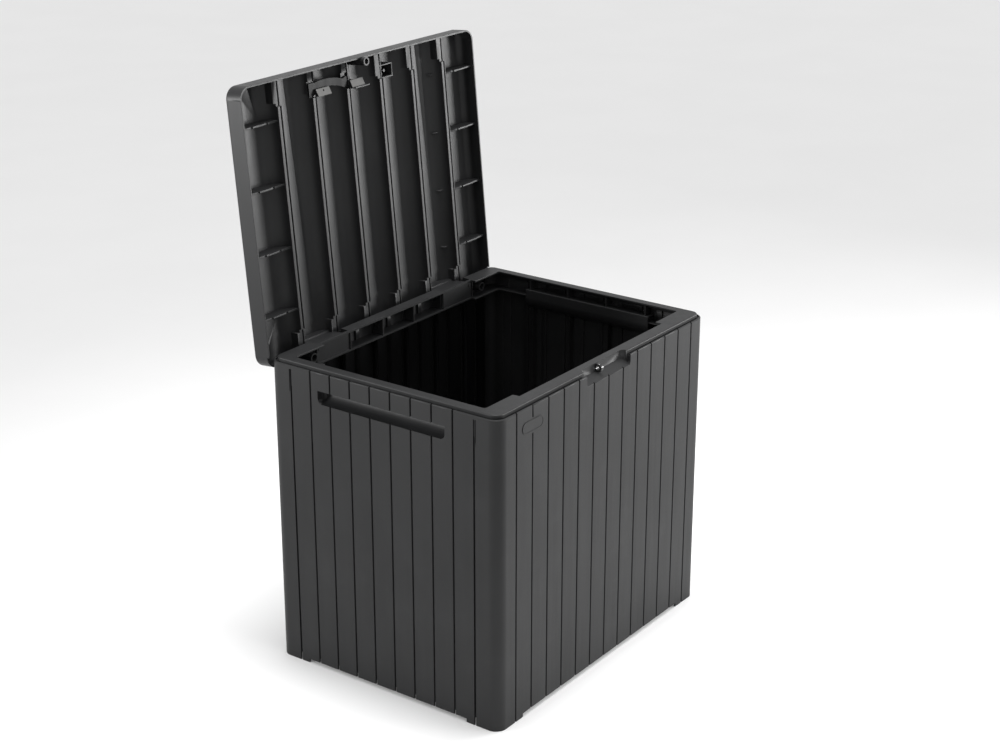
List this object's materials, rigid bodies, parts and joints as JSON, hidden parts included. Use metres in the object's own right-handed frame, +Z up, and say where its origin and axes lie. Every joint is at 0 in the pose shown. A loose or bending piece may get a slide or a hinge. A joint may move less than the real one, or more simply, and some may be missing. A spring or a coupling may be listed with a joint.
{
  "type": "deck storage box",
  "caption": "Outdoor storage box with planked walls, side hand recesses, a front padlock eye and a ribbed lid that leans open on its rear hinges.",
  "frame": {"origin": "on the ground, in the middle of the box's footprint, at the bottom of the floor panel's middle post", "axes": "+Z up, +X to the right of a person who faces the front, -Y out of the front, the hinge line along X at the back"},
  "size_m": [0.578, 0.508, 0.931],
  "materials": {
    "graphite_plastic": "fine moulded grain, graphite grey",
    "black_plastic": "smooth black"
  },
  "bodies": {
    "box": {"front_panel": "graphite_plastic", "back_panel": "graphite_plastic", "left_panel": "graphite_plastic", "right_panel": "graphite_plastic", "floor_panel": "graphite_plastic", "padlock_eye": "black_plastic", "hinge_pin_left": "black_plastic", "hinge_pin_right": "black_plastic"},
    "lid": {"lid_shell": "graphite_plastic", "catch_spring": "black_plastic"}
  },
  "joints": [
    {"name": "lid_hinge", "type": "hinge", "parent": "box", "child": "lid", "pos_m": [0, 0.21015, 0.5029], "axis": [1, 0, 0], "range_deg": [0, 95]}
  ]
}
